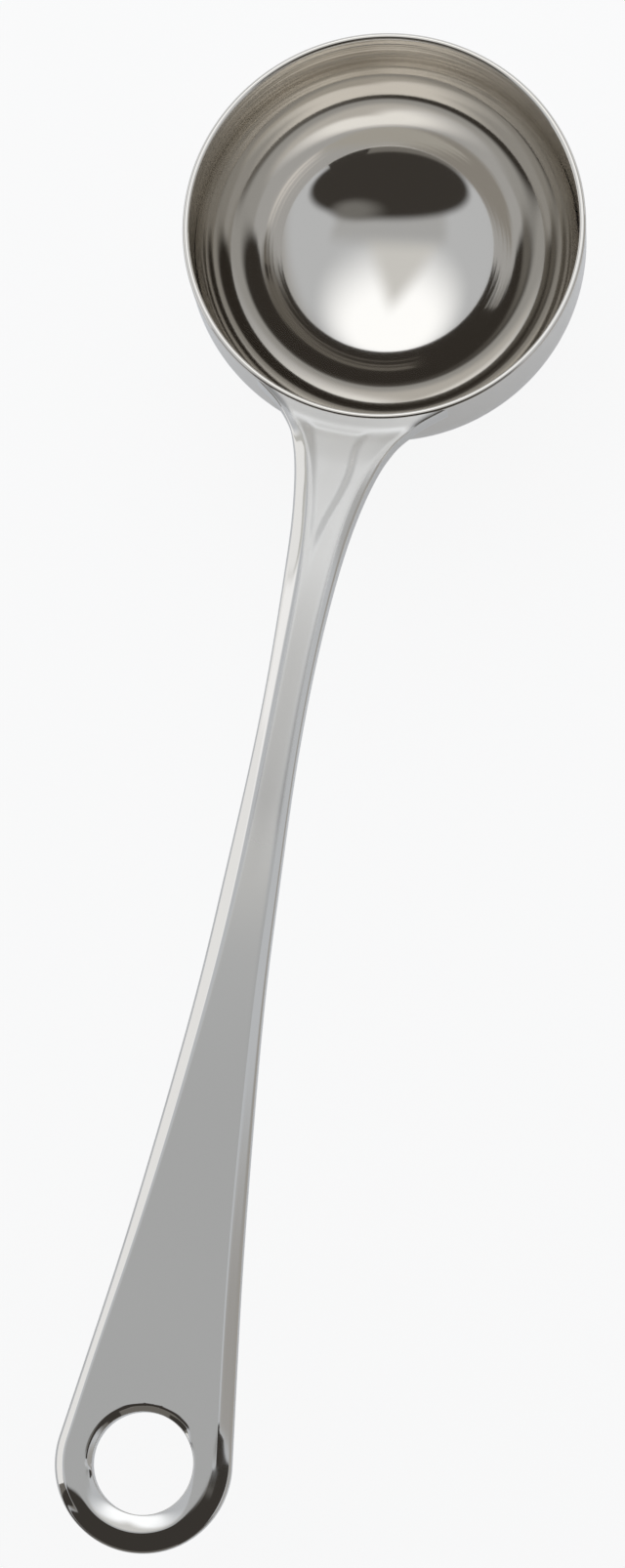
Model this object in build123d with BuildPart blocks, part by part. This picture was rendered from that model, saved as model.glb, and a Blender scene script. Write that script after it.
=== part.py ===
"""Coffee measuring spoon in polished stainless steel, in millimetres.

The frame: +Z is up along the bowl's axis, the origin is the centre of the bowl's flat foot,
and the handle runs out along -Y.
"""
import os
from math import acos, asin, atan2, cos, degrees, hypot, sin, sqrt

from build123d import *

os.makedirs("parts", exist_ok=True)

# Bowl: one drawn sheet cup with a straight wall, a half-elliptic bottom and a small flat foot
bowl_inner_radius = 22.0
sheet = 0.8
straight_wall = 6.9
bottom_depth = 18.2
foot_radius = 3.5
rim_rounding = 0.3

# Handle: one forged bar that rises from the rim, levels out and widens to a plate with a hole
hole_distance = 140.5
hole_radius = 5.4
eye_width = 4.0
waist_half_width = 2.42
root_half_width = 8.2
arch_height = 8.9
root_thickness = 3.9
plate_thickness = 2.8
edge_rounding = 0.9
hole_rounding = 0.8

# Sunken panel in the top of the handle's root
panel_depth = 0.3
panel_length = 17.0
panel_half_width = 3.0
panel_setback = 3.2
panel_corner = 0.6

# Weld bead round the underside and flanks of the handle's root
bead_leg = 1.3
bead_side = 0.5
bead_below_rim = 1.2
bead_past_root = 0.4

# One overrun serves every cut
overrun = 3.0

# The handle's stations, each with four shares: of its run from the wall to the hole's centre, of the
# arch's height over the rim, of the way from plate to root thickness, of the way from waist to root width
root_stations = [(-0.02, -0.05, 1.0, 1.2), (0.0, 0.0, 1.0, 0.8), (0.012, 0.1, 0.97, 0.66),
                 (0.03, 0.24, 0.93, 0.52), (0.055, 0.4, 0.86, 0.385), (0.082, 0.55, 0.8, 0.27),
                 (0.12, 0.72, 0.72, 0.165), (0.16, 0.86, 0.62, 0.092), (0.205, 0.95, 0.52, 0.042),
                 (0.275, 1.0, 0.38, 0.0)]
# The same beyond the waist, the last share being of the way from waist to end width
plate_stations = [(0.37, 0.995, 0.24, 0.02), (0.46, 0.95, 0.15, 0.088), (0.554, 0.87, 0.08, 0.17),
                  (0.643, 0.8, 0.03, 0.294), (0.733, 0.74, 0.0, 0.446), (0.826, 0.7, 0.0, 0.62),
                  (0.91, 0.69, 0.0, 0.806)]
end_lift_share = 0.69

bowl_outer_radius = bowl_inner_radius + sheet
end_radius = hole_radius + eye_width
outer_bottom_depth = bottom_depth + sheet
wall_start = outer_bottom_depth * sqrt(1 - (foot_radius / bowl_outer_radius) ** 2)
rim_height = wall_start + straight_wall
handle_run = hole_distance - bowl_outer_radius
end_top = rim_height + end_lift_share * arch_height


def station(shares, wide):
    """Distance from the bowl's axis, top height, thickness and half width of a handle station."""
    along, lift, thick, widening = shares
    return (bowl_outer_radius + along * handle_run,
            rim_height + lift * arch_height,
            plate_thickness + thick * (root_thickness - plate_thickness),
            waist_half_width + widening * (wide - waist_half_width))


# The last two stations are where the tapering edges touch the round end, and its centre
stations = [station(shares, root_half_width) for shares in root_stations]
stations += [station(shares, end_radius) for shares in plate_stations]
before_end = (stations[-1][3], hole_distance - stations[-1][0])
touch_angle = atan2(before_end[1], before_end[0]) - acos(end_radius / hypot(*before_end))
stations.append((hole_distance - end_radius * sin(touch_angle), end_top, plate_thickness,
                 end_radius * cos(touch_angle)))
stations.append((hole_distance, end_top, plate_thickness, end_radius))

# The bowl is its section turned about the axis
with BuildPart() as bowl:
    with BuildSketch(Plane.XZ):
        with Locations((0, wall_start)):
            Ellipse(bowl_outer_radius, outer_bottom_depth)
            Rectangle(2 * bowl_outer_radius, straight_wall, align=(Align.CENTER, Align.MIN))
            Ellipse(bowl_inner_radius, bottom_depth, mode=Mode.SUBTRACT)
            Rectangle(2 * bowl_inner_radius, straight_wall, align=(Align.CENTER, Align.MIN), mode=Mode.SUBTRACT)
        Rectangle(bowl_outer_radius, rim_height, align=(Align.MIN, Align.MIN), mode=Mode.INTERSECT)
    revolve(axis=Axis.Z)
    fillet(bowl.edges().group_by(Axis.Z)[-1], rim_rounding)
bowl.part.label = "bowl"

# The sunken panel is a long triangle with round corners, its floor a little below the arched top
panel_start = bowl_outer_radius + panel_setback
panel_end = panel_start + panel_length
panel_top = rim_height + arch_height + overrun
panel_floor = [(-distance, top - panel_depth) for distance, top, _, _ in stations[:len(root_stations)]]
with BuildPart() as panel:
    with BuildSketch(Plane.XY):
        with BuildLine():
            Polyline((-panel_half_width, -panel_start), (panel_half_width, -panel_start), (0, -panel_end), close=True)
        make_face()
        fillet(vertices(), panel_corner)
    extrude(amount=panel_top)
    with BuildSketch(Plane.YZ.offset(-panel_half_width)):
        with BuildLine():
            Spline(*panel_floor)
            Polyline(panel_floor[-1], (panel_floor[-1][0], panel_top), (panel_floor[0][0], panel_top), panel_floor[0])
        make_face()
    extrude(amount=2 * panel_half_width, mode=Mode.INTERSECT)


def is_hole_edge(edge):
    """Whether an edge runs round the hole in the top face or the underside of the plate."""
    middle = edge.center()
    on_wall = abs(hypot(middle.X, middle.Y + hole_distance) - hole_radius) < hole_radius / 100
    from_middle = abs(middle.Z - end_top + plate_thickness / 2)
    return on_wall and from_middle > plate_thickness / 4


# The bar is lofted through rounded sections, and the plate ends in half a disc with the same rounding
with BuildPart() as handle:
    for distance, top, thick, half_width in stations:
        with BuildSketch(Plane.XZ.offset(distance)):
            with Locations((0, top - thick / 2)):
                RectangleRounded(2 * half_width, thick, edge_rounding)
    loft()
    with BuildSketch(Plane.XZ.offset(hole_distance)):
        with Locations((0, end_top)):
            RectangleRounded(2 * end_radius, plate_thickness, edge_rounding, align=(Align.CENTER, Align.MAX))
            Rectangle(end_radius, plate_thickness, align=(Align.MIN, Align.MAX), mode=Mode.INTERSECT)
    revolve(axis=Axis((0, -hole_distance, 0), (0, 0, -1)), revolution_arc=180)

    # The hole is rounded at both faces of the plate
    with Locations((0, -hole_distance, end_top)):
        Cylinder(hole_radius, 3 * plate_thickness, mode=Mode.SUBTRACT)
    fillet(handle.edges().filter_by(is_hole_edge), hole_rounding)
    Cylinder(bowl_outer_radius, rim_height + arch_height, align=(Align.CENTER, Align.CENTER, Align.MIN),
             mode=Mode.SUBTRACT)
    add(panel.part, mode=Mode.SUBTRACT)
handle.part.label = "handle"

# The bead is a band turned round the bowl's wall under the root and up its flanks
root_bottom = rim_height - root_thickness
bead_top = rim_height - bead_below_rim
bead_angle = degrees(asin(root_half_width / bowl_outer_radius) + bead_past_root / bowl_outer_radius)
bead_start = Plane.XZ.rotated((0, 0, -90 - bead_angle))
with BuildPart() as weld_bead:
    with BuildSketch(bead_start):
        with BuildLine():
            Polyline((bowl_outer_radius, root_bottom - bead_leg),
                     (bowl_outer_radius + bead_leg, root_bottom + bead_leg / 2),
                     (bowl_outer_radius + bead_side, bead_top),
                     (bowl_outer_radius, bead_top), close=True)
        make_face()
    revolve(axis=Axis.Z, revolution_arc=2 * bead_angle)
    add(handle.part, mode=Mode.SUBTRACT)
weld_bead.part.label = "weld_bead"

for piece in (bowl, handle, weld_bead):
    export_step(piece.part, f"parts/{piece.part.label}.step")
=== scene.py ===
from math import asin, atan2, cos, degrees, hypot, pi, radians, sin, sqrt

import bmesh
import bpy
import numpy as np
from mathutils import Matrix, Vector


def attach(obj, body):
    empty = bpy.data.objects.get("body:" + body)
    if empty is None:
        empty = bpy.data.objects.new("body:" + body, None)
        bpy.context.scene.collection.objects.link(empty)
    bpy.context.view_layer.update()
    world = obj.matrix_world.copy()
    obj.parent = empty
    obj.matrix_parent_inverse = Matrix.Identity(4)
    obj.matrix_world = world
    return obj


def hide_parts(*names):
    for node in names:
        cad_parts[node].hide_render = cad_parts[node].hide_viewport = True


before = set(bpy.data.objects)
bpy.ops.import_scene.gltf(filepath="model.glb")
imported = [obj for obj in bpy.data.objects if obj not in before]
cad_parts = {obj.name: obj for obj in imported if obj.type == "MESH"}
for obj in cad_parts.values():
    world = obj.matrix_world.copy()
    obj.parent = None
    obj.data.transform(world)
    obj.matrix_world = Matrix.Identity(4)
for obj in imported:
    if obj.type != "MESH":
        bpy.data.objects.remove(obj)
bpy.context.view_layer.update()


# Camera
# The photograph is taken from nearly overhead, about 48 cm away and with a long lens. The camera is
# turned about its own axis, so the handle leans to the lower left.
camera_data = bpy.data.cameras.new("camera")
camera_data.lens = 97.7
camera_data.sensor_width = 36
camera = bpy.data.objects.new("camera", camera_data)
camera_right = Vector((0.9809, 0.1819, -0.0686))
camera_back = Vector((0.1007, -0.1732, 0.9797))
camera_up = camera_back.cross(camera_right)
camera.matrix_world = Matrix((camera_right, camera_up, camera_back)).transposed().to_4x4()
camera.location = (0.05095, -0.14565, 0.48435)
bpy.context.scene.collection.objects.link(camera)
bpy.context.scene.camera = camera
bpy.context.scene.view_settings.view_transform = "Standard"
bpy.context.scene.cycles.glossy_bounces = 12


# Studio
# A white ceiling close over the table lights the spoon, brightest behind it, with a darker front around the
# camera. Two low flags beside the handle's end give the polished steel its dark edges. The rest is white.
ceiling_height = 0.49
ceiling_half = 2.2


def painted(nodes, links, place, base, zones):
    """Colour of a surface: a base, then zones over it, each inside its ellipse or its straight sides."""
    start = nodes.new("ShaderNodeRGB")
    start.outputs[0].default_value = (*base, 1)
    colour = start.outputs[0]
    for name, zone_colour, shapes in zones:
        inside = None
        for shape in shapes:
            edge = nodes.new("ShaderNodeMapRange")
            edge.interpolation_type = "SMOOTHSTEP"
            if len(shape) == 3:
                axis, low, high = shape
                along = nodes.new("ShaderNodeVectorMath")
                along.operation = "DOT_PRODUCT"
                along.inputs[1].default_value = axis
                links.new(place, along.inputs[0])
            else:
                centre, half_sizes, turn, soft = shape
                low, high = 1 + soft, 1 - soft
                unit = nodes.new("ShaderNodeMapping")
                unit.vector_type = "TEXTURE"
                unit.inputs["Location"].default_value = (*centre, ceiling_height)
                unit.inputs["Rotation"].default_value = (0, 0, turn)
                unit.inputs["Scale"].default_value = (*half_sizes, 1)
                links.new(place, unit.inputs["Vector"])
                along = nodes.new("ShaderNodeVectorMath")
                along.operation = "LENGTH"
                links.new(unit.outputs["Vector"], along.inputs[0])
            edge.inputs["From Min"].default_value = low
            edge.inputs["From Max"].default_value = high
            links.new(along.outputs["Value"], edge.inputs["Value"])
            if inside is None:
                inside = edge.outputs["Result"]
                continue
            both = nodes.new("ShaderNodeMath")
            both.operation = "MULTIPLY"
            links.new(inside, both.inputs[0])
            links.new(edge.outputs["Result"], both.inputs[1])
            inside = both.outputs[0]
        paint = nodes.new("ShaderNodeMix")
        paint.name = name
        paint.data_type = "RGBA"
        paint.inputs["B"].default_value = (*zone_colour, 1)
        links.new(inside, paint.inputs["Factor"])
        links.new(colour, paint.inputs["A"])
        colour = paint.outputs["Result"]
    return colour


def card(name, corners, base, zones=()):
    """A glowing board of the studio, which the steel mirrors and the camera doesn't see."""
    mesh = bpy.data.meshes.new(name)
    mesh.from_pydata(corners, [], [(0, 1, 2, 3)])
    board = bpy.data.objects.new(name, mesh)
    bpy.context.scene.collection.objects.link(board)
    board.visible_camera = False
    paint = bpy.data.materials.new(name)
    paint.use_nodes = True
    nodes, links = paint.node_tree.nodes, paint.node_tree.links
    nodes.clear()
    glow = nodes.new("ShaderNodeEmission")
    place = nodes.new("ShaderNodeTexCoord").outputs["Object"]
    links.new(painted(nodes, links, place, base, zones), glow.inputs["Color"])
    links.new(glow.outputs[0], nodes.new("ShaderNodeOutputMaterial").inputs["Surface"])
    mesh.materials.append(paint)


# Each zone has its colour and its shapes: an ellipse is its centre, half sizes, turn and softness, and a
# straight side is a direction and how far along it the zone fades in
ceiling_zones = [
    ("back_right", (0.41, 0.40, 0.385), [((0.8, 0.6, 0), 0.5, 0.8)]),
    ("far_left", (1.12, 1.12, 1.13), [((-1, 0, 0), 0.9, 1.8)]),
    ("far_back", (0.60, 0.60, 0.58), [((0, 1, 0), 0.75, 1.1)]),
    ("back_light", (1.34, 1.37, 1.41), [((-0.08, 0.37), (0.31, 0.36), 0, 0.45)]),
    ("overhead", (0.75, 0.75, 0.74), [((0.894, -0.447, 0), -0.20, -0.10),
                                      ((-0.894, -0.447, 0), -0.11, -0.01), ((0, 1, 0), -0.14, -0.04)]),
    ("shade", (0.49, 0.50, 0.51), [((0.12, -0.993, 0), 0.0, 0.11), ((-1, 0, 0), -0.33, -0.25),
                                   ((1, 0, 0), -0.30, -0.21)]),
    ("front", (0.20, 0.19, 0.175), [((0, -1, 0), 0.5, 0.8)]),
    ("dark_front", (0.050, 0.045, 0.040), [((0.08, -0.48), (0.60, 0.32), radians(8), 0.09)]),
    ("front_gap", (0.20, 0.195, 0.185), [((0.21, -0.19), (0.12, 0.055), radians(4), 0.6)]),
]
ceiling_corners = [(x * ceiling_half, y * ceiling_half, ceiling_height)
                   for x, y in ((-1, -1), (-1, 1), (1, 1), (1, -1))]
card("ceiling", ceiling_corners, (0.60, 0.62, 0.65), ceiling_zones)

# Each flag stands at one x, with its near and far end along Y, and its lower and upper edge
flags = {"right_flag": (0.12, -0.116, -0.35, 0.10, 0.20), "left_flag": (-0.30, -0.31, -0.80, 0.04, 0.22)}
flag_black = (0.050, 0.045, 0.040)
for name, (x, near, far, low, high) in flags.items():
    card(name, [(x, near, low), (x, far, low), (x, far, high), (x, near, high)], flag_black)

front_y, back_y = -1, 1
right_x = 1.7
card("front_wall", [(-ceiling_half, front_y, 0), (ceiling_half, front_y, 0),
                    (ceiling_half, front_y, ceiling_height), (-ceiling_half, front_y, ceiling_height)],
     (0.17, 0.16, 0.145))
card("right_wall", [(right_x, front_y, 0), (right_x, back_y, 0), (right_x, back_y, ceiling_height),
                    (right_x, front_y, ceiling_height)], (0.42, 0.40, 0.37))

world = bpy.data.worlds.new("white_room")
bpy.context.scene.world = world
world.use_nodes = True
nodes, links = world.node_tree.nodes, world.node_tree.links
nodes.clear()
room = nodes.new("ShaderNodeBackground")
room.inputs["Color"].default_value = (1, 1, 1, 1)
links.new(room.outputs[0], nodes.new("ShaderNodeOutputWorld").inputs["Surface"])


# Floor
# A plain white table top, which carries the spoon on the foot of its bowl. The camera sees it nearly white,
# and it keeps the spoon's shadow.
floor_radius = 6.0
floor_sides = 64
floor_corners = []
for k in range(floor_sides):
    turn = 2 * pi * k / floor_sides
    floor_corners.append((floor_radius * cos(turn), floor_radius * sin(turn), 0))
floor_mesh = bpy.data.meshes.new("floor")
floor_mesh.from_pydata(floor_corners, [], [list(range(floor_sides))])
floor = bpy.data.objects.new("floor", floor_mesh)
bpy.context.scene.collection.objects.link(floor)
floor_white = bpy.data.materials.new("floor_white")
floor_white.use_nodes = True
nodes, links = floor_white.node_tree.nodes, floor_white.node_tree.links
nodes.clear()
rays = nodes.new("ShaderNodeLightPath")
paper = nodes.new("ShaderNodeBsdfDiffuse")
paper.inputs["Color"].default_value = (0.85, 0.88, 0.93, 1)
glow = nodes.new("ShaderNodeEmission")
glow.inputs["Color"].default_value = (1, 1, 1, 1)
# Each kind of ray sees this share of plain white in place of the shaded paper
shares = {"Is Camera Ray": 0.9, "Is Glossy Ray": 0.25, "Is Transmission Ray": 0.9}
total = None
for kind, share in shares.items():
    part = nodes.new("ShaderNodeMath")
    part.operation = "MULTIPLY_ADD"
    part.inputs[1].default_value = share
    part.inputs[2].default_value = 0
    links.new(rays.outputs[kind], part.inputs[0])
    if total is not None:
        links.new(total, part.inputs[2])
    total = part.outputs[0]
table_top = nodes.new("ShaderNodeMixShader")
links.new(total, table_top.inputs["Fac"])
links.new(paper.outputs[0], table_top.inputs[1])
links.new(glow.outputs[0], table_top.inputs[2])
links.new(table_top.outputs[0], nodes.new("ShaderNodeOutputMaterial").inputs["Surface"])
floor_mesh.materials.append(floor_white)


# Bowl
# One cup drawn from stainless sheet: a straight wall, a half-elliptic bottom with a small flat foot, and a
# rounded rim. It is turned and buffed, which leaves faint lines round its axis.
mm = 0.001
bowl_inner = 22.0 * mm
sheet = 0.8 * mm
straight_wall = 6.9 * mm
bottom_depth = 18.2 * mm
foot_radius = 3.5 * mm
bowl_outer = bowl_inner + sheet
outer_depth = bottom_depth + sheet
wall_start = outer_depth * sqrt(1 - (foot_radius / bowl_outer) ** 2)
rim_height = wall_start + straight_wall

micron = 0.001 * mm
# The finish is this much smoother and rougher from place to place
wear_spread = 0.2
# Faces that lean sideways less than the first have the whole brushed finish, and past the second none
level_lean, bevel_lean = 0.24, 0.42


def steel(name, tint, roughness, grain_axis, grain_scale, grain_depth, turned=False, brushed=None):
    """Polished stainless steel with a fine grain, drawn out along one direction or turned into rings.
    Between two places along Y it can change to a finish brushed across, which smears what it mirrors along
    Y. For that, brushed holds the two places and how much rougher the steel is past them."""
    material = bpy.data.materials.new(name)
    material.use_nodes = True
    nodes, links = material.node_tree.nodes, material.node_tree.links
    nodes.clear()
    metal = nodes.new("ShaderNodeBsdfPrincipled")
    metal.inputs["Base Color"].default_value = (*tint, 1)
    metal.inputs["Metallic"].default_value = 1
    object_place = nodes.new("ShaderNodeTexCoord").outputs["Object"]
    split = nodes.new("ShaderNodeSeparateXYZ")
    links.new(object_place, split.inputs[0])
    place = object_place
    if turned:
        flat = nodes.new("ShaderNodeVectorMath")
        flat.operation = "MULTIPLY"
        flat.inputs[1].default_value = (1, 1, 0)
        links.new(object_place, flat.inputs[0])
        reach = nodes.new("ShaderNodeVectorMath")
        reach.operation = "LENGTH"
        links.new(flat.outputs[0], reach.inputs[0])
        ring_place = nodes.new("ShaderNodeCombineXYZ")
        links.new(reach.outputs["Value"], ring_place.inputs["X"])
        links.new(split.outputs["Z"], ring_place.inputs["Y"])
        place = ring_place.outputs[0]
    stretch = nodes.new("ShaderNodeMapping")
    stretch.inputs["Scale"].default_value = grain_axis
    links.new(place, stretch.inputs["Vector"])
    grain = nodes.new("ShaderNodeTexNoise")
    grain.inputs["Scale"].default_value = grain_scale
    grain.inputs["Detail"].default_value = 3
    links.new(stretch.outputs["Vector"], grain.inputs["Vector"])
    wear = nodes.new("ShaderNodeMapRange")
    wear.inputs["To Min"].default_value = roughness * (1 - wear_spread)
    wear.inputs["To Max"].default_value = roughness * (1 + wear_spread)
    links.new(grain.outputs["Fac"], wear.inputs["Value"])
    rough = wear.outputs["Result"]
    if brushed:
        share = nodes.new("ShaderNodeMapRange")
        share.interpolation_type = "SMOOTHSTEP"
        share.inputs["From Min"].default_value = brushed[0]
        share.inputs["From Max"].default_value = brushed[1]
        links.new(split.outputs["Y"], share.inputs["Value"])
        facing = nodes.new("ShaderNodeSeparateXYZ")
        links.new(nodes.new("ShaderNodeTexCoord").outputs["Normal"], facing.inputs[0])
        tilt = nodes.new("ShaderNodeMath")
        tilt.operation = "ABSOLUTE"
        links.new(facing.outputs["X"], tilt.inputs[0])
        level = nodes.new("ShaderNodeMapRange")
        level.interpolation_type = "SMOOTHSTEP"
        level.inputs["From Min"].default_value = bevel_lean
        level.inputs["From Max"].default_value = level_lean
        links.new(tilt.outputs[0], level.inputs["Value"])
        on_top = nodes.new("ShaderNodeMath")
        on_top.operation = "MULTIPLY"
        links.new(share.outputs["Result"], on_top.inputs[0])
        links.new(level.outputs["Result"], on_top.inputs[1])
        more = nodes.new("ShaderNodeMath")
        more.operation = "MULTIPLY_ADD"
        more.inputs[1].default_value = brushed[2]
        links.new(on_top.outputs[0], more.inputs[0])
        links.new(rough, more.inputs[2])
        rough = more.outputs[0]
        links.new(on_top.outputs[0], metal.inputs["Anisotropic"])
        metal.inputs["Anisotropic Rotation"].default_value = 0.25
        round_axis = nodes.new("ShaderNodeTangent")
        round_axis.direction_type = "RADIAL"
        round_axis.axis = "Z"
        links.new(round_axis.outputs[0], metal.inputs["Tangent"])
    links.new(rough, metal.inputs["Roughness"])
    bump = nodes.new("ShaderNodeBump")
    bump.inputs["Strength"].default_value = 1
    bump.inputs["Distance"].default_value = grain_depth
    links.new(grain.outputs["Fac"], bump.inputs["Height"])
    links.new(bump.outputs["Normal"], metal.inputs["Normal"])
    links.new(metal.outputs[0], nodes.new("ShaderNodeOutputMaterial").inputs["Surface"])
    return material


def lathe_tree(name):
    """Geometry nodes that turn the object's own profile, drawn in XZ, about the Z axis."""
    tree = bpy.data.node_groups.new(name, "GeometryNodeTree")
    tree.interface.new_socket("Profile", in_out="INPUT", socket_type="NodeSocketGeometry")
    tree.interface.new_socket("Steps round", in_out="INPUT", socket_type="NodeSocketInt")
    tree.interface.new_socket("Path radius", in_out="INPUT", socket_type="NodeSocketFloat")
    tree.interface.new_socket("Material", in_out="INPUT", socket_type="NodeSocketMaterial")
    tree.interface.new_socket("Turned", in_out="OUTPUT", socket_type="NodeSocketGeometry")
    nodes, links = tree.nodes, tree.links
    given = nodes.new("NodeGroupInput")
    profile = nodes.new("GeometryNodeMeshToCurve")
    links.new(given.outputs["Profile"], profile.inputs["Mesh"])
    path = nodes.new("GeometryNodeCurvePrimitiveCircle")
    links.new(given.outputs["Steps round"], path.inputs["Resolution"])
    links.new(given.outputs["Path radius"], path.inputs["Radius"])
    turned = nodes.new("GeometryNodeCurveToMesh")
    links.new(path.outputs["Curve"], turned.inputs["Curve"])
    links.new(profile.outputs["Curve"], turned.inputs["Profile Curve"])
    poles = nodes.new("GeometryNodeMergeByDistance")
    poles.inputs["Distance"].default_value = 0.0001 * mm
    links.new(turned.outputs["Mesh"], poles.inputs["Geometry"])
    smooth = nodes.new("GeometryNodeSetShadeSmooth")
    links.new(poles.outputs["Geometry"], smooth.inputs["Geometry"])
    real = nodes.new("GeometryNodeRealizeInstances")
    links.new(smooth.outputs["Geometry"], real.inputs["Geometry"])
    coated = nodes.new("GeometryNodeSetMaterial")
    links.new(real.outputs["Geometry"], coated.inputs["Geometry"])
    links.new(given.outputs["Material"], coated.inputs["Material"])
    links.new(coated.outputs["Geometry"], nodes.new("NodeGroupOutput").inputs["Turned"])
    return tree


def applied(thing, tree, values):
    """The thing with the tree run on it, as a plain mesh with its normals pointing outwards."""
    modifier = thing.modifiers.new(tree.name, "NODES")
    modifier.node_group = tree
    for item in tree.interface.items_tree:
        if item.in_out == "INPUT" and item.name in values:
            modifier[item.identifier] = values[item.name]
    thing.update_tag()
    bpy.context.view_layer.update()
    made = bpy.data.meshes.new_from_object(thing.evaluated_get(bpy.context.evaluated_depsgraph_get()))
    thing.modifiers.remove(modifier)
    thing.data = made
    return thing


profile_steps = 90
wall_steps = 48
rim_steps = 16
steps_round = 256
foot_turn = asin(foot_radius / bowl_outer)
rim_centre = rim_height - sheet / 2
# The outside has lines at these shares of the straight wall's height, and of the foot's radius
outside_shares = (0.86, 0.75, 0.6, 0.45, 0.3, 0.15)
foot_shares = (0.98, 0.66, 0.33, 0)
# The turning left shallow rings in the wall, with finer ones among them, which are given as shares of the
# first. The rings start at a height, grow to their full depth above it and end just below the rim.
ring_depth = 0.005 * mm
ring_pitch = 1.5 * mm
finer_depth = 0.6
finer_pitch = 0.57
ring_low = 13 * mm
ring_growth = 4 * mm
ring_end = 1 * mm


def turning_ring(z):
    """How far out the rings move the inner wall at a height."""
    strength = min(max((z - ring_low) / ring_growth, 0), 1) * min(max((rim_centre - z) / ring_end, 0), 1)
    waves = sin(2 * pi * z / ring_pitch) + finer_depth * sin(2 * pi * z / (finer_pitch * ring_pitch))
    return ring_depth * strength * waves


inner = []
for k in range(profile_steps + 1):
    turn = pi / 2 * k / profile_steps
    inner.append((bowl_inner * sin(turn), wall_start - bottom_depth * cos(turn)))
wall_height = rim_centre - wall_start
inner += [(bowl_inner, wall_start + wall_height * k / wall_steps) for k in range(1, wall_steps)]
inner = [(r + turning_ring(z), z) for r, z in inner]
rim = []
for k in range(rim_steps + 1):
    turn = pi * k / rim_steps
    rim.append((bowl_inner + sheet / 2 - sheet / 2 * cos(turn), rim_centre + sheet / 2 * sin(turn)))
outer = [(bowl_outer, wall_start + straight_wall * share) for share in outside_shares]
for k in range(profile_steps + 1):
    turn = pi / 2 + (foot_turn - pi / 2) * k / profile_steps
    outer.append((bowl_outer * sin(turn), wall_start - outer_depth * cos(turn)))
foot = [(foot_radius * share, 0) for share in foot_shares]
# The lathe sweeps the profile along a circle of the bowl's inner radius, so it is drawn from there
profile = [(r - bowl_inner, -z, 0) for r, z in inner + rim + outer + foot]
bowl_mesh = bpy.data.meshes.new("drawn_bowl")
bowl_mesh.from_pydata(profile, [(k, k + 1) for k in range(len(profile) - 1)], [])
bowl = bpy.data.objects.new("drawn_bowl", bowl_mesh)
bpy.context.scene.collection.objects.link(bowl)
bowl_steel = steel("bowl_steel", (0.74, 0.715, 0.675), 0.055, (1, 1, 1), 1500, 0.3 * micron, turned=True)
applied(bowl, lathe_tree("turned_cup"),
        {"Steps round": steps_round, "Path radius": bowl_inner, "Material": bowl_steel})
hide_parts("bowl")
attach(bowl, "root")


# Handle
# One forged bar of stainless steel, welded to the bowl. It rises from the rim, where its top is sunken
# between two arms, runs on as a narrow bevelled bar, and widens to a flat plate with a hanging hole.

# The handle's sizes are in millimetres, and vertex() turns them into metres
hole_distance = 140.5
hole_radius = 5.4
end_radius = 9.4
# Distance from the bowl's axis, height of the top over the rim, thickness and half width
stations = [(22.3, -0.12, 3.95, 13.4), (22.8, -0.12, 3.9, 10.9), (23.3, -0.12, 3.9, 9.0),
            (23.9, -0.1, 3.88, 7.8), (24.5, 0.12, 3.87, 7.1), (25.4, 0.8, 3.84, 6.35),
            (26.7, 1.7, 3.8, 5.65), (28.4, 2.75, 3.76, 5.0), (30.2, 3.6, 3.7, 4.5),
            (32.5, 4.6, 3.63, 4.02), (37.0, 6.2, 3.59, 3.35), (41.7, 7.55, 3.48, 2.95),
            (46.9, 8.4, 3.37, 2.66), (55.2, 8.85, 3.22, 2.42), (66.4, 8.85, 3.06, 2.56),
            (77.0, 8.45, 2.97, 3.03), (88.0, 7.75, 2.89, 3.6), (98.5, 7.1, 2.83, 4.47),
            (109.1, 6.55, 2.8, 5.53), (120.0, 6.2, 2.8, 6.75), (129.9, 6.14, 2.8, 8.05),
            (139.24, 6.14, 2.8, 9.315), (152.0, 6.14, 2.8, 11.04)]


def smooth_through(points):
    """A curve with even curvature through a table of points, as a function of the first column."""
    x, y = np.array(points, float).T
    gap, rise = np.diff(x), np.diff(y)
    rows = np.eye(len(x))
    wanted = np.zeros(len(x))
    for k in range(1, len(x) - 1):
        rows[k, k - 1:k + 2] = gap[k - 1], 2 * (gap[k - 1] + gap[k]), gap[k]
        wanted[k] = 6 * (rise[k] / gap[k] - rise[k - 1] / gap[k - 1])
    bend = np.linalg.solve(rows, wanted)

    def curve(at):
        k = int(np.clip(np.searchsorted(x, at) - 1, 0, len(gap) - 1))
        before, after = at - x[k], x[k + 1] - at
        return ((bend[k] * after ** 3 + bend[k + 1] * before ** 3) / (6 * gap[k])
                + (y[k] / gap[k] - bend[k] * gap[k] / 6) * after
                + (y[k + 1] / gap[k] - bend[k + 1] * gap[k] / 6) * before)
    return curve


top_height = smooth_through([(d, lift) for d, lift, _, _ in stations])
thickness = smooth_through([(d, thick) for d, _, thick, _ in stations])
half_width = smooth_through([(d, wide) for d, _, _, wide in stations])

# Width of the bevel on the left (-1) and the right (1) edge, its slope, and half the width of the soft
# crease inside it, each given as distances from the bowl's axis and the value there
bevel_width = {
    -1: smooth_through([(22, 0.4), (23.5, 0.7), (26, 1.35), (29, 1.7), (40, 1.9), (55, 1.5), (66, 1.5),
                        (77, 1.7), (90, 1.55), (108, 1.35), (122, 1.05), (132, 0.95), (139, 1.0),
                        (152, 1.0)]),
    1: smooth_through([(22, 0.4), (24, 0.5), (28, 0.9), (40, 1.0), (55, 0.9), (77, 1.0), (95, 1.2),
                       (115, 1.5), (132, 1.6), (139, 1.6), (152, 1.6)])}
bevel_slope = {
    -1: smooth_through([(22, 0.3), (23.5, 0.4), (26, 0.65), (30, 0.73), (66, 0.74), (100, 0.8),
                        (152, 0.8)]),
    1: smooth_through([(22, 0.3), (24, 0.32), (30, 0.38), (66, 0.38), (80, 0.48), (95, 0.6), (152, 0.66)])}
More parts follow.
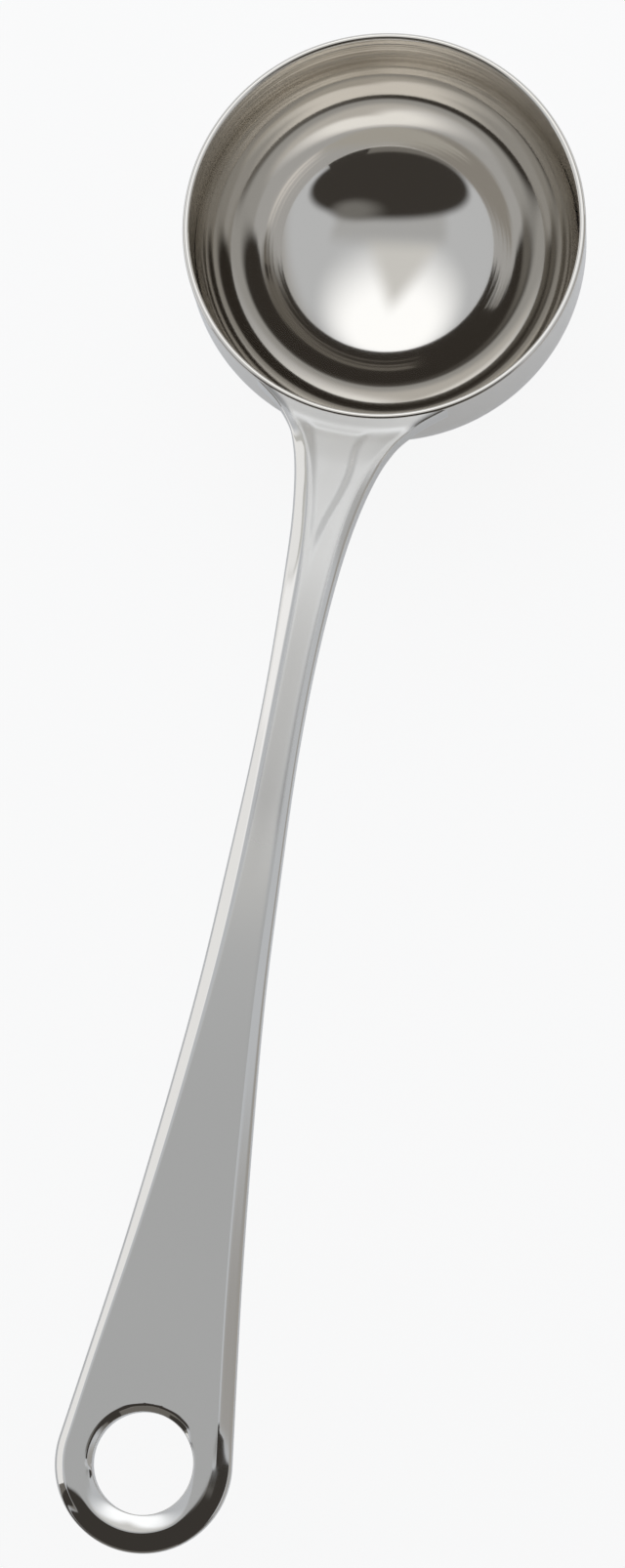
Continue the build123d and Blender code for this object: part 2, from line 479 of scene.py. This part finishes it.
crease_half = {
    -1: smooth_through([(22, 0.15), (28, 0.3), (40, 0.42), (66, 0.42), (90, 0.3), (120, 0.2), (152, 0.2)]),
    1: smooth_through([(22, 0.2), (28, 0.3), (40, 0.4), (66, 0.4), (90, 0.3), (120, 0.2), (152, 0.2)])}
# Every edge of the top is rounded over this width and depth
edge_rounding = (0.25, 0.12)

# The sunken panel between the arms: its left and right border, how softly it begins on either side of each,
# the stretch where it starts, where it is over, the width from which it has its full depth, and that depth
panel_left = smooth_through([(22, -5.2), (24.3, -4.4), (29, -2.8), (32.7, -2.1), (37.4, -1.3), (42, -1.0),
                             (48, -0.8)])
panel_right = smooth_through([(22, 3.4), (24.1, 2.7), (26, 1.9), (29, 1.8), (32, 1.5), (37, 0.2),
                              (42, -0.5), (48, -0.8)])
left_soft, right_soft = (0.8, 1.0), (0.7, 0.7)
panel_start = (24.1, 25.0)
panel_end = 50
full_panel_width = 1.4
panel_depth = 0.3

# Round the end the bevels turn to a ring. It has a wide slope, and on the right a steeper one outside it,
# each with its width and half the width of its crease.
ring_start = {-1: (144.2, 147.5), 1: (134.8, 140.0)}
ring_slope, ring_width, ring_crease = 0.36, 2.1, 0.12
steep_slope, steep_width, steep_crease = {-1: 0, 1: 0.2}, 0.95, 0.1
steep_end = (143.5, 148.5)

# The hole's chamfer narrows away between these angles round the hole, where 90 degrees is towards the end.
# There a dish takes its place, which grows wider and deeper towards the end.
chamfer_end = {-1: (6, 24), 1: (-52, -28)}
chamfer_slope, chamfer_width, chamfer_crease = 0.75, 0.7, 0.08
chamfer_narrowing = 0.68
dish_start = (-4, 62)
dish_slope, dish_width, dish_crease = 0.2, 0.25, 0.1
dish_widening = 1.65
dish_depth, dish_deepening = 0.06, 0.24
dish_steepness = 0.8

# Roundings of the underside, at its edge and at the hole, with their width and height
belly_rounding = (0.8, 0.8)
bore_rounding = (0.6, 0.5)

# The tapering sides touch the round end here
touch_turn = radians(7.7)
touch = (end_radius * cos(touch_turn), hole_distance - end_radius * sin(touch_turn))


def fade(value, low, high):
    """0 below low and 1 above high, with an even change between."""
    share = min(max((value - low) / (high - low), 0), 1)
    return share * share * (3 - 2 * share)


def round_drop(inward, width, depth, steepness=0.93):
    """How far a rounded edge of this width lies below the face, at a distance inward from the edge."""
    share = max(1 - inward / width, 0) * steepness
    return depth * (1 - sqrt(1 - share * share)) / (1 - sqrt(1 - steepness * steepness))


def soft_slope(inward, width, half):
    """Drop below the face of a slope of 1 that ends at a width, in a soft crease of this half width."""
    beyond = width - inward
    if beyond < -half:
        return 0
    if beyond > half:
        return beyond
    return (beyond + half) ** 2 / (4 * half)


def edge_drop(d, edge, side):
    """How far the bevel, or the ring round the end, lies below the top at a distance in from the edge."""
    near = min(d, touch[1])
    ring = fade(d, *ring_start[side])
    bevel = bevel_slope[side](near) * soft_slope(edge, bevel_width[side](near), crease_half[side](near))
    steep = steep_slope[side] * (1 - fade(d, *steep_end))
    end_ring = (ring_slope * soft_slope(edge, ring_width, ring_crease)
                + steep * soft_slope(edge, steep_width, steep_crease))
    return bevel * (1 - ring) + end_ring * ring + round_drop(edge, *edge_rounding)


def hole_drop(x, d, rim_of_hole, side):
    """How far the chamfer or the dish round the hole lies below the top, at x outwards from the middle."""
    around = degrees(atan2(d - hole_distance, x))
    width = chamfer_width - chamfer_narrowing * fade(around, *chamfer_end[side])
    chamfer = chamfer_slope * soft_slope(rim_of_hole, width, chamfer_crease)
    grown = fade(around, *dish_start)
    width = dish_width + dish_widening * grown
    dish = (dish_slope * soft_slope(rim_of_hole, width, dish_crease)
            + round_drop(rim_of_hole, width, dish_depth + dish_deepening * grown, dish_steepness))
    return max(chamfer, dish)


def panel_drop(x, d, side):
    """How far the sunken panel lies below the top, at x outwards from the middle."""
    if d >= panel_end:
        return 0
    left, right = panel_left(d), panel_right(d)
    inside_left = fade(side * x, left - left_soft[0], left + left_soft[1])
    past_right = fade(side * x, right - right_soft[0], right + right_soft[1])
    full = fade(d, *panel_start) * fade(right - left, 0, full_panel_width)
    return panel_depth * inside_left * (1 - past_right) * full


def top_face(x, d, edge, rim_of_hole, side):
    """Height of the handle's top over the bowl's rim."""
    return (top_height(min(d, touch[1])) - edge_drop(d, edge, side) - hole_drop(x, d, rim_of_hole, side)
            - panel_drop(x, d, side))


def underside(d, edge, rim_of_hole):
    """Height of the handle's underside over the bowl's rim."""
    d = min(d, touch[1])
    return (top_height(d) - thickness(d) + round_drop(edge, *belly_rounding)
            + round_drop(rim_of_hole, *bore_rounding))


# Across the bar the mesh has lines at these shares of the way in to the crease, even steps over the crease,
# and one line past it. At the very end both sides have the same lines, so that they join.
bevel_shares = (0, 0.05, 0.12, 0.22, 0.36, 0.5, 0.66, 0.83)
crease_steps = 9
past_crease = 0.15
join_stretch = (147.8, 149.7)
join_start, join_half = 1.1, 0.2


def edge_steps(d, side):
    """Distances in from the edge where the mesh has a line."""
    joined = fade(d, *join_stretch)
    half = crease_half[side](d) * (1 - joined) + join_half * joined
    start = (bevel_width[side](d) - half) * (1 - joined) + join_start * joined
    return ([start * share for share in bevel_shares]
            + [start + 2 * half * k / crease_steps for k in range(crease_steps + 1)]
            + [start + 2 * half + past_crease])


# From the last line to the middle there are even steps, and round the hole lines this far out from the bore
middle_steps = 8
hole_steps = (1.9, 1.6, 1.3, 1.1, 0.9, 0.7, 0.5, 0.34, 0.2, 0.1, 0)
# The sections run straight across at the root, and past it they start square to the edge
square_stretch = (27, 37)
slope_reach = 0.05


def side_point(d):
    """Point of the outline at a distance from the bowl, and the way inward from it for each mm of bevel."""
    slope = (half_width(d + slope_reach) - half_width(d - slope_reach)) / (2 * slope_reach)
    length = hypot(1, slope)
    square = fade(d, *square_stretch)
    return (half_width(d), d), (-length + square * (length - 1 / length), square * slope / length)


def end_point(turn):
    """Point of the round end, at an angle from the line across the hole towards the bowl."""
    return ((end_radius * cos(turn), hole_distance - end_radius * sin(turn)), (-cos(turn), sin(turn)))


# Sections lie at these distances from the bowl's axis, in stretches with even steps, and draw together
# before the hole. Past lean_start their outer ends lag behind along the edge, and past spread_start their
# inner ends turn to face the hole.
stretches = ((22.3, 26, 0.15), (26, 36, 0.3), (36, 126, 0.8), (126, 134, 0.35))
bar_starts = [d for stretch in stretches for d in np.arange(*stretch)]
bar_starts += [134.0, 134.2, 134.37, 134.52, 134.65, 134.76, 134.85, 134.93, 135.0, 135.06]
hole_top = hole_distance - hole_radius
lean_start, lean = 112, 7.4
spread_start = 118
spread = pi / 4
spread_end = radians(35)

# A row is one section: its place on the edge, its way inward, its place in the middle or on the hole, its
# way out from the hole, how near it is to the hole, and whether it ends there
rows = []
for d in bar_starts + [hole_top]:
    leaning = lean * fade(d, lean_start, hole_top)
    near_hole = fade(d, spread_start, hole_top)
    away = spread * near_hole
    rows.append((*side_point(d - leaning), (0, d), (cos(away), -sin(away)), near_hole, False))
arc_steps = 72
for k in range(arc_steps + 1):
    turn = pi / 2 - pi * k / arc_steps
    on_hole = (hole_radius * cos(turn), hole_distance - hole_radius * sin(turn))
    if k == 0:
        on_hole = (0, hole_top)
    if turn > touch_turn:
        share = (pi / 2 - turn) / (pi / 2 - touch_turn)
        outside = side_point(hole_top - lean + share * (touch[1] - hole_top + lean))
    else:
        outside = end_point(turn)
    away = turn - spread * fade(turn, spread_end, pi / 2)
    rows.append((*outside, on_hole, (cos(away), -sin(away)), 1, True))


vertices, faces, index = [], [], {}
# Near the root the sections curve with the bowl's wall
curved_stretch = (26, 42)
edge_wall_steps = 6
on_axis = 1e-9


def vertex(x, d, z):
    """Number of the vertex at a place, given in millimetres."""
    curved = 1 - fade(d, *curved_stretch)
    d -= (d - sqrt(d * d - x * x)) * curved
    place = (round(x, 5) + 0.0, round(-d, 5), round(z, 5))
    if place not in index:
        index[place] = len(vertices)
        vertices.append((place[0] * mm, place[1] * mm, rim_height + place[2] * mm))
    return index[place]


def places_across(row, side):
    """Places across one half of the handle, from its edge inwards, each with its distance from the edge."""
    outside, inward, inside, out_of_hole, near_hole, has_hole = row
    places = [(outside[0] + inward[0] * e, outside[1] + inward[1] * e, e)
              for e in edge_steps(outside[1], side)]
    last_x, last_d, last_e = places[-1]
    ring_x = inside[0] + out_of_hole[0] * hole_steps[0]
    ring_d = inside[1] + out_of_hole[1] * hole_steps[0]
    steps = middle_steps + len(hole_steps)
    for k in range(1, steps + 1):
        share = k / steps
        x = last_x + (inside[0] - last_x) * share
        d = last_d + (inside[1] - last_d) * share
        if k > middle_steps:
            h = hole_steps[k - middle_steps - 1]
            x += near_hole * (inside[0] + out_of_hole[0] * h - x)
            d += near_hole * (inside[1] + out_of_hole[1] * h - d)
        else:
            share = k / (middle_steps + 1)
            x += near_hole * (last_x + (ring_x - last_x) * share - x)
            d += near_hole * (last_d + (ring_d - last_d) * share - d)
        places.append((x, d, last_e + hypot(x - last_x, d - last_d)))
    if not has_hole or inside[0] < on_axis:
        places[-1] = (0, *places[-1][1:])
    if has_hole and abs(outside[0]) < on_axis:
        places = [(0, d, e) for _, d, e in places]
    return places


def wall_between(low, high):
    """Places up an edge or up the hole's bore, from the underside to the top."""
    return [(high[0], high[1], low[2] + (high[2] - low[2]) * k / edge_wall_steps)
            for k in range(edge_wall_steps + 1)]


def section(row, side):
    """Vertex numbers from the middle of the top round to the middle of the underside, and up the bore."""
    upper, lower = [], []
    for x, d, e in places_across(row, side):
        h = max(hypot(x, d - hole_distance) - hole_radius, 0)
        upper.append((x, d, top_face(x, d, e, h, side)))
        lower.append((x, d, underside(d, e, h)))
    edge_wall = wall_between(lower[0], upper[0])[1:-1]
    ring = [vertex(side * x, d, z) for x, d, z in upper[::-1] + edge_wall[::-1] + lower]
    has_hole = row[-1]
    bore = [vertex(side * x, d, z) for x, d, z in wall_between(lower[-1], upper[-1])] if has_hole else []
    return ring, bore


for side in (1, -1):
    before = None
    for row in rows:
        ring, bore = section(row, side)
        if before is None:
            # The first section is closed with faces that join the top to the underside
            count = (len(ring) - edge_wall_steps + 1) // 2
            faces += [(ring[k], ring[k + 1], ring[-k - 2], ring[-k - 1]) for k in range(count - 1)]
            faces.append(ring[count - 1:len(ring) - count + 1])
        else:
            for one, two in zip(before, (ring, bore)):
                if one and two:
                    faces += [(one[k], one[k + 1], two[k + 1], two[k]) for k in range(len(two) - 1)]
        before = (ring, bore)

# A face whose corners have come together keeps only the different ones
faces = [tuple(dict.fromkeys(face)) for face in faces]
handle_mesh = bpy.data.meshes.new("forged_handle")
handle_mesh.from_pydata(vertices, [], [face for face in faces if len(face) > 2])
shape = bmesh.new()
shape.from_mesh(handle_mesh)
bmesh.ops.recalc_face_normals(shape, faces=shape.faces)
shape.to_mesh(handle_mesh)
shape.free()
handle_mesh.shade_smooth()
handle = bpy.data.objects.new("forged_handle", handle_mesh)
bpy.context.scene.collection.objects.link(handle)
handle_steel = steel("handle_steel", (0.745, 0.735, 0.715), 0.06, (1, 0.1, 1), 900, 1.5 * micron,
                     brushed=(-0.088, -0.068, 0.26))
handle_mesh.materials.append(handle_steel)
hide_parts("handle")
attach(handle, "root")


# Weld bead
# The weld that holds the handle to the bowl's wall: a thin run of steel in the corner under the root and up
# both flanks, ground smooth and polished with the rest.
bead_radius = 0.5
# How far below the rim it runs under the root, and how near to the rim it comes on the flanks
bead_under = 4.0
bead_top = 1.3
# Half the angle that it covers round the bowl, the share by which the flanks draw in, and how sharply the
# level run turns up into them
bead_turn = 0.375
flank_narrowing = 0.03
corner_power, flank_power = 6, 3
bead_steps = 96
bead_steps_round = 20


def bead_tree(name):
    """Geometry nodes that lay a round bead with closed ends along the object's own line."""
    tree = bpy.data.node_groups.new(name, "GeometryNodeTree")
    tree.interface.new_socket("Line", in_out="INPUT", socket_type="NodeSocketGeometry")
    tree.interface.new_socket("Bead radius", in_out="INPUT", socket_type="NodeSocketFloat")
    tree.interface.new_socket("Steps round", in_out="INPUT", socket_type="NodeSocketInt")
    tree.interface.new_socket("Material", in_out="INPUT", socket_type="NodeSocketMaterial")
    tree.interface.new_socket("Bead", in_out="OUTPUT", socket_type="NodeSocketGeometry")
    nodes, links = tree.nodes, tree.links
    given = nodes.new("NodeGroupInput")
    line = nodes.new("GeometryNodeMeshToCurve")
    links.new(given.outputs["Line"], line.inputs["Mesh"])
    section = nodes.new("GeometryNodeCurvePrimitiveCircle")
    links.new(given.outputs["Steps round"], section.inputs["Resolution"])
    links.new(given.outputs["Bead radius"], section.inputs["Radius"])
    run = nodes.new("GeometryNodeCurveToMesh")
    run.inputs["Fill Caps"].default_value = True
    links.new(line.outputs["Curve"], run.inputs["Curve"])
    links.new(section.outputs["Curve"], run.inputs["Profile Curve"])
    smooth = nodes.new("GeometryNodeSetShadeSmooth")
    links.new(run.outputs["Mesh"], smooth.inputs["Geometry"])
    real = nodes.new("GeometryNodeRealizeInstances")
    links.new(smooth.outputs["Geometry"], real.inputs["Geometry"])
    coated = nodes.new("GeometryNodeSetMaterial")
    links.new(real.outputs["Geometry"], coated.inputs["Geometry"])
    links.new(given.outputs["Material"], coated.inputs["Material"])
    links.new(coated.outputs["Geometry"], nodes.new("NodeGroupOutput").inputs["Bead"])
    return tree


line = []
for k in range(bead_steps + 1):
    along = 2 * k / bead_steps - 1
    flank = 1 - (1 - abs(along) ** corner_power) ** (1 / flank_power)
    turn = bead_turn * along / (1 + flank_narrowing * flank)
    height = rim_height / mm - bead_under + (bead_under - bead_top) * flank
    line.append((bowl_outer * sin(turn), -bowl_outer * cos(turn), height * mm))
bead_mesh = bpy.data.meshes.new("polished_weld")
bead_mesh.from_pydata(line, [(k, k + 1) for k in range(len(line) - 1)], [])
bead = bpy.data.objects.new("polished_weld", bead_mesh)
bpy.context.scene.collection.objects.link(bead)
bead_steel = steel("weld_steel", (0.64, 0.63, 0.62), 0.12, (1, 1, 1), 700, 10 * micron)
applied(bead, bead_tree("run_of_weld"),
        {"Bead radius": bead_radius * mm, "Steps round": bead_steps_round, "Material": bead_steel})
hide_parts("weld_bead")
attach(bead, "root")
